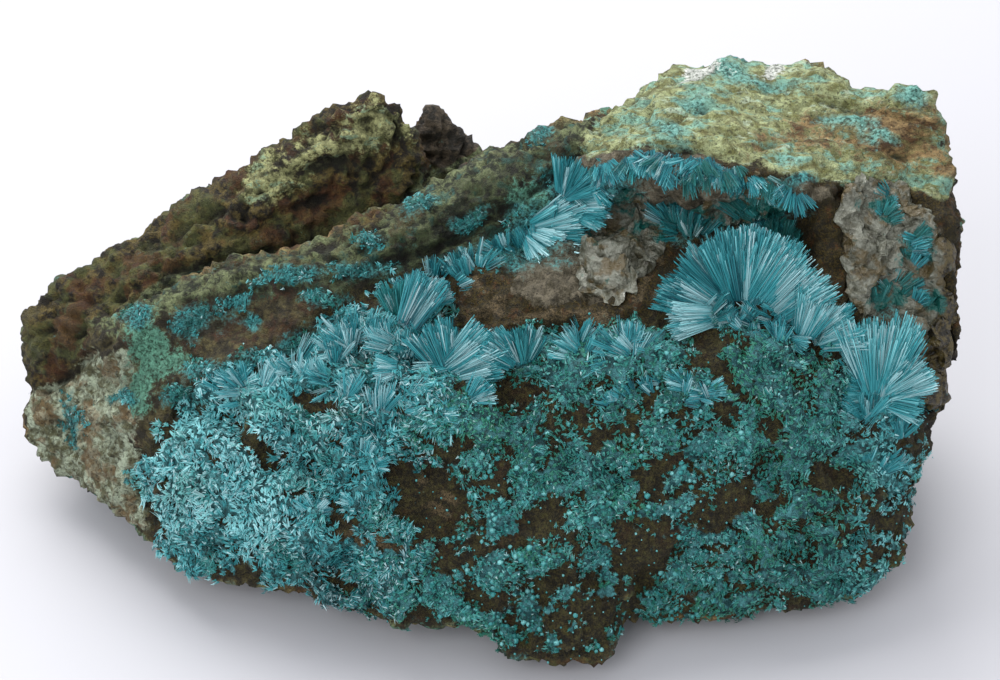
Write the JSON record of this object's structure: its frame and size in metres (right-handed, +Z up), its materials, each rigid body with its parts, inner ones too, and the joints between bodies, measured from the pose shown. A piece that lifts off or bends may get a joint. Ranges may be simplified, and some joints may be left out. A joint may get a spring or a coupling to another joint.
{
  "type": "tyrolite specimen",
  "caption": "Natural mineral specimen: a broken rock with a flaky blue-green crystal crust, radiating crystal fans and grey quartz, resting on a flat underside.",
  "frame": {"origin": "in the flat of the underside that the specimen rests on, about under its middle", "axes": "+X along the specimen to the end with the high slab, -Y towards the crystal face, +Z up"},
  "size_m": [0.0609, 0.0356, 0.0275],
  "materials": {
    "host_rock": "rough olive and rust brown rock",
    "quartz": "grey glassy quartz",
    "tyrolite_crust": "flaky blue-green crust",
    "tyrolite_blades": "silky turquoise blades"
  },
  "bodies": {
    "root": {"matrix": "host_rock", "quartz_hollow": "quartz", "quartz_wall": "quartz", "tyrolite_crust": "tyrolite_crust", "tyrolite_lip_crust": "tyrolite_crust", "fan_large": "tyrolite_blades", "fan_step": "tyrolite_blades", "fan_right": "tyrolite_blades", "fan_left": "tyrolite_blades", "fan_middle": "tyrolite_blades", "fan_hollow": "tyrolite_blades"}
  },
  "joints": []
}
